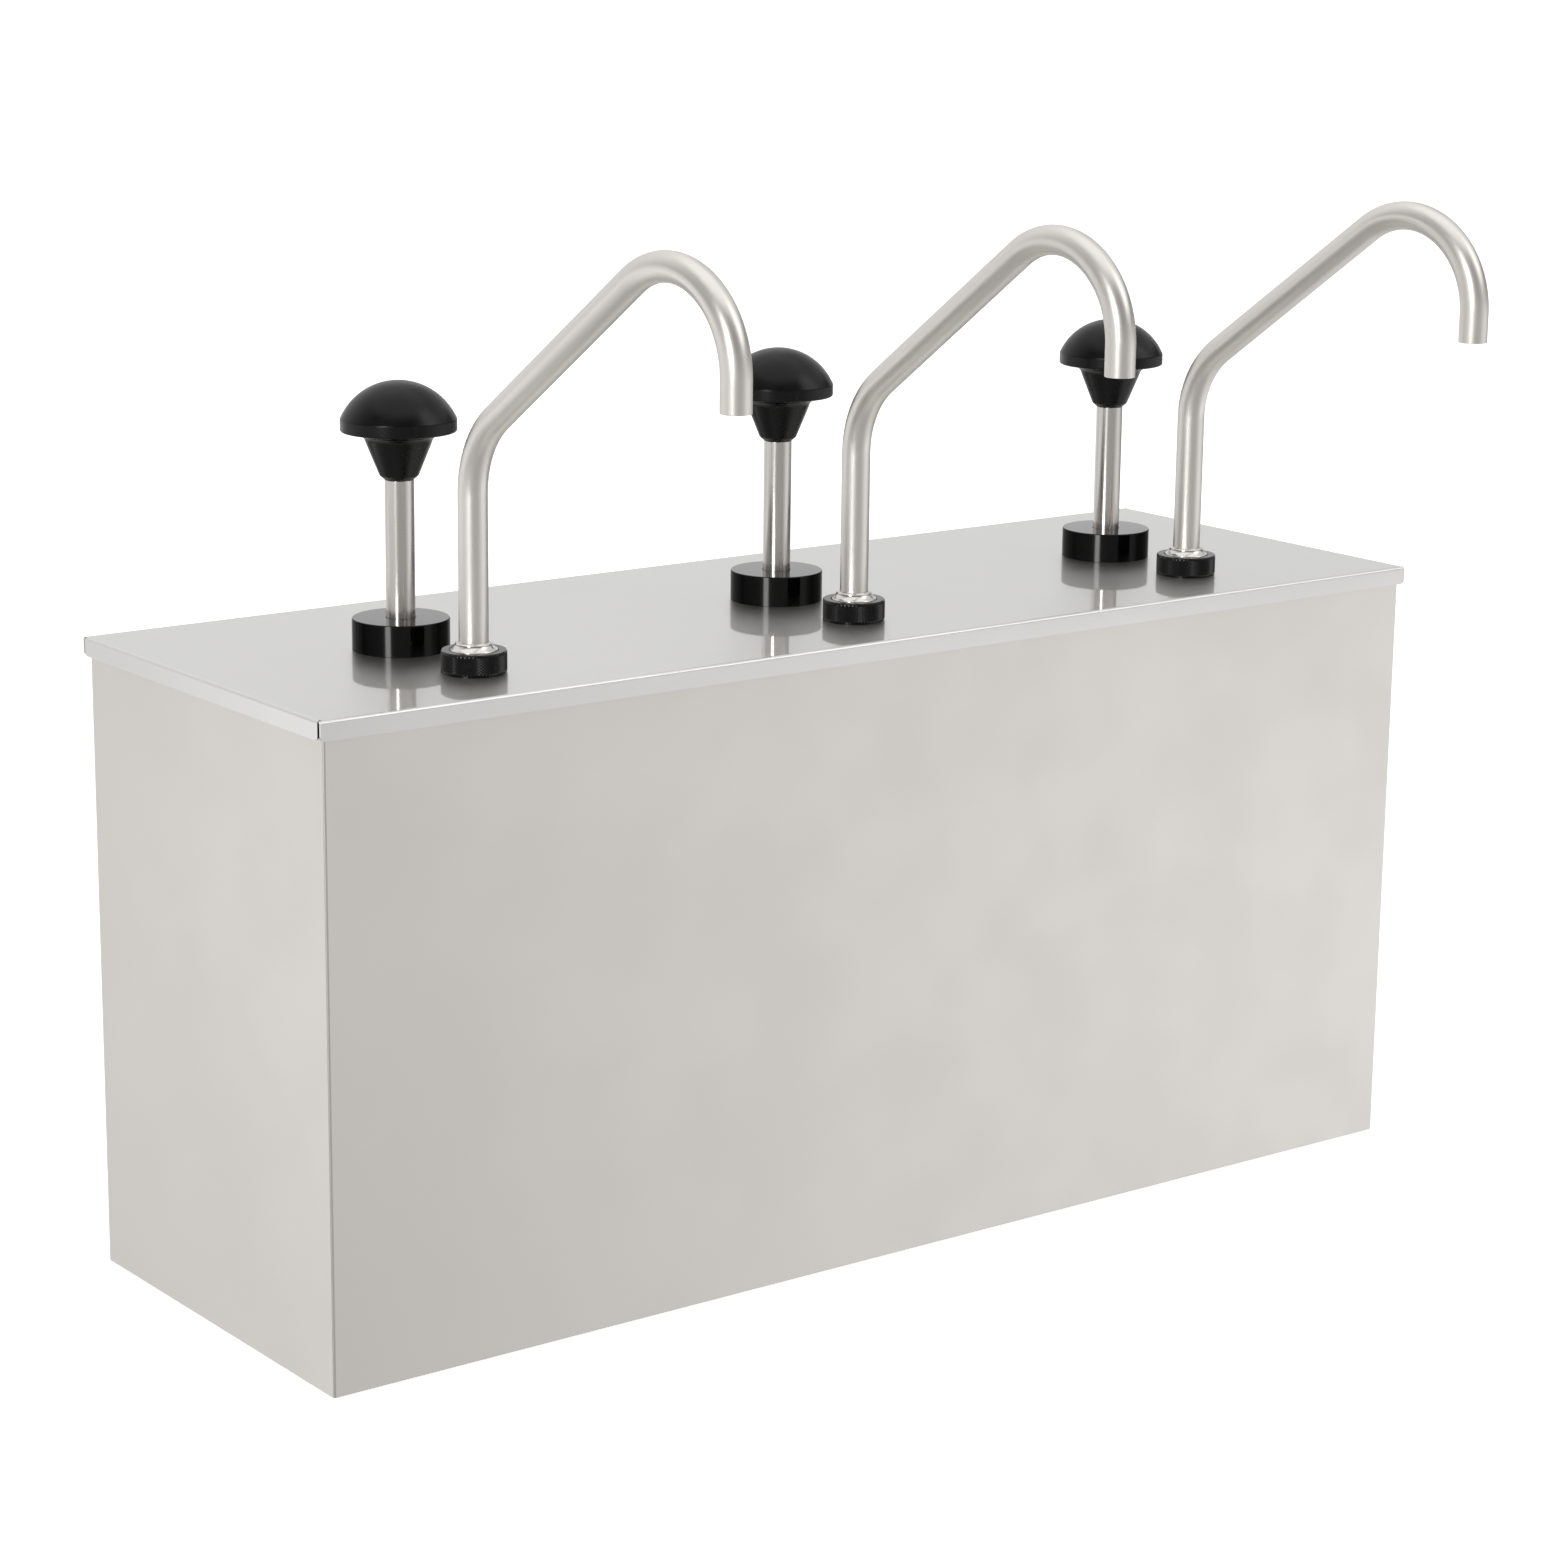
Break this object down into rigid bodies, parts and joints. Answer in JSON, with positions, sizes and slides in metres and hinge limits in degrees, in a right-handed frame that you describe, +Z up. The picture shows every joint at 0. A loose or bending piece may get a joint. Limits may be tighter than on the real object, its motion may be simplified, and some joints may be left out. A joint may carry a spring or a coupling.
{
  "type": "sauce pump dispenser",
  "caption": "Countertop sauce dispenser: a rectangular stainless steel housing with a lift-off lid that carries plunger pumps with domed knobs and bent swivelling spouts.",
  "frame": {"origin": "centre of the housing's footprint, on the face that stands on the counter", "axes": "+Z up, +X along the row of pumps, -Y towards the user, where the spouts point"},
  "size_m": [0.574, 0.3133, 0.449],
  "materials": {
    "brushed_stainless": "brushed stainless steel, soft satin",
    "plain_stainless": "mill-finished stainless steel",
    "lid_stainless": "half-polished stainless steel",
    "tube_stainless": "satin stainless steel tube and rod",
    "polished_steel": "polished stainless steel",
    "black_gloss": "glossy black plastic",
    "black_nut": "black plastic with a diamond knurl",
    "black_satin": "satin black plastic",
    "white_plastic": "natural acetal plastic",
    "black_rubber": "black food-grade rubber"
  },
  "bodies": {
    "housing": {"housing_wrap": "brushed_stainless", "rear_panel": "brushed_stainless", "base_panel": "plain_stainless", "well_deck": "plain_stainless", "container_1": "plain_stainless", "container_2": "plain_stainless", "container_3": "plain_stainless"},
    "lid_unit": {"lid": "lid_stainless", "collar_1": "black_gloss", "collar_2": "black_gloss", "collar_3": "black_gloss", "cylinder_1": "plain_stainless", "cylinder_2": "plain_stainless", "cylinder_3": "plain_stainless", "valve_body_1": "white_plastic", "valve_body_2": "white_plastic", "valve_body_3": "white_plastic", "riser_1": "tube_stainless", "riser_2": "tube_stainless", "riser_3": "tube_stainless", "guide_bushes": "white_plastic", "rod_wipers": "black_rubber", "cylinder_gaskets": "black_rubber", "valve_cages": "plain_stainless", "riser_gaskets": "black_rubber", "spout_seals": "black_rubber", "return_spring_1": "polished_steel", "return_spring_2": "polished_steel", "return_spring_3": "polished_steel"},
    "plunger_1": {"knob_1": "black_satin", "plunger_rod_1": "tube_stainless", "stroke_spacer_1": "plain_stainless", "piston_1": "white_plastic", "piston_seal_1": "black_rubber"},
    "spout_unit_1": {"spout_1": "tube_stainless", "ferrule_1": "polished_steel"},
    "nut_1": {"knurled_nut_1": "black_nut"},
    "inlet_check_1": {"inlet_ball_1": "polished_steel"},
    "outlet_check_1": {"outlet_ball_1": "polished_steel"},
    "plunger_2": {"knob_2": "black_satin", "plunger_rod_2": "tube_stainless", "stroke_spacer_2": "plain_stainless", "piston_2": "white_plastic", "piston_seal_2": "black_rubber"},
    "spout_unit_2": {"spout_2": "tube_stainless", "ferrule_2": "polished_steel"},
    "nut_2": {"knurled_nut_2": "black_nut"},
    "inlet_check_2": {"inlet_ball_2": "polished_steel"},
    "outlet_check_2": {"outlet_ball_2": "polished_steel"},
    "plunger_3": {"knob_3": "black_satin", "plunger_rod_3": "tube_stainless", "stroke_spacer_3": "plain_stainless", "piston_3": "white_plastic", "piston_seal_3": "black_rubber"},
    "spout_unit_3": {"spout_3": "tube_stainless", "ferrule_3": "polished_steel"},
    "nut_3": {"knurled_nut_3": "black_nut"},
    "inlet_check_3": {"inlet_ball_3": "polished_steel"},
    "outlet_check_3": {"outlet_ball_3": "polished_steel"}
  },
  "joints": [
    {"name": "lid_lift", "type": "slide", "parent": "housing", "child": "lid_unit", "axis": [0, 0, 1], "range_m": [0, 0.21]},
    {"name": "plunger_press_1", "type": "slide", "parent": "lid_unit", "child": "plunger_1", "axis": [0, 0, -1], "range_m": [0, 0.052], "stiffness_N_per_m": 400, "springref_m": -0.03, "deforming": ["return_spring_1"]},
    {"name": "spout_swivel_1", "type": "hinge", "parent": "lid_unit", "child": "spout_unit_1", "pos_m": [-0.191, -0.052, 0.281], "axis": [0, 0, 1], "range_deg": [-30, 30]},
    {"name": "nut_turn_1", "type": "hinge", "parent": "lid_unit", "child": "nut_1", "pos_m": [-0.191, -0.052, 0.276], "axis": [0, 0, 1], "range_deg": [0, 120]},
    {"name": "inlet_ball_lift_1", "type": "slide", "parent": "lid_unit", "child": "inlet_check_1", "axis": [0, 0, 1], "range_m": [0, 0.003]},
    {"name": "outlet_ball_lift_1", "type": "slide", "parent": "lid_unit", "child": "outlet_check_1", "axis": [0, 0, 1], "range_m": [0, 0.003]},
    {"name": "plunger_press_2", "type": "slide", "parent": "lid_unit", "child": "plunger_2", "axis": [0, 0, -1], "range_m": [0, 0.052], "stiffness_N_per_m": 400, "springref_m": -0.03, "deforming": ["return_spring_2"]},
    {"name": "spout_swivel_2", "type": "hinge", "parent": "lid_unit", "child": "spout_unit_2", "pos_m": [0, -0.052, 0.281], "axis": [0, 0, 1], "range_deg": [-30, 30]},
    {"name": "nut_turn_2", "type": "hinge", "parent": "lid_unit", "child": "nut_2", "pos_m": [0, -0.052, 0.276], "axis": [0, 0, 1], "range_deg": [0, 120]},
    {"name": "inlet_ball_lift_2", "type": "slide", "parent": "lid_unit", "child": "inlet_check_2", "axis": [0, 0, 1], "range_m": [0, 0.003]},
    {"name": "outlet_ball_lift_2", "type": "slide", "parent": "lid_unit", "child": "outlet_check_2", "axis": [0, 0, 1], "range_m": [0, 0.003]},
    {"name": "plunger_press_3", "type": "slide", "parent": "lid_unit", "child": "plunger_3", "axis": [0, 0, -1], "range_m": [0, 0.052], "stiffness_N_per_m": 400, "springref_m": -0.03, "deforming": ["return_spring_3"]},
    {"name": "spout_swivel_3", "type": "hinge", "parent": "lid_unit", "child": "spout_unit_3", "pos_m": [0.191, -0.052, 0.281], "axis": [0, 0, 1], "range_deg": [-30, 30]},
    {"name": "nut_turn_3", "type": "hinge", "parent": "lid_unit", "child": "nut_3", "pos_m": [0.191, -0.052, 0.276], "axis": [0, 0, 1], "range_deg": [0, 120]},
    {"name": "inlet_ball_lift_3", "type": "slide", "parent": "lid_unit", "child": "inlet_check_3", "axis": [0, 0, 1], "range_m": [0, 0.003]},
    {"name": "outlet_ball_lift_3", "type": "slide", "parent": "lid_unit", "child": "outlet_check_3", "axis": [0, 0, 1], "range_m": [0, 0.003]}
  ]
}
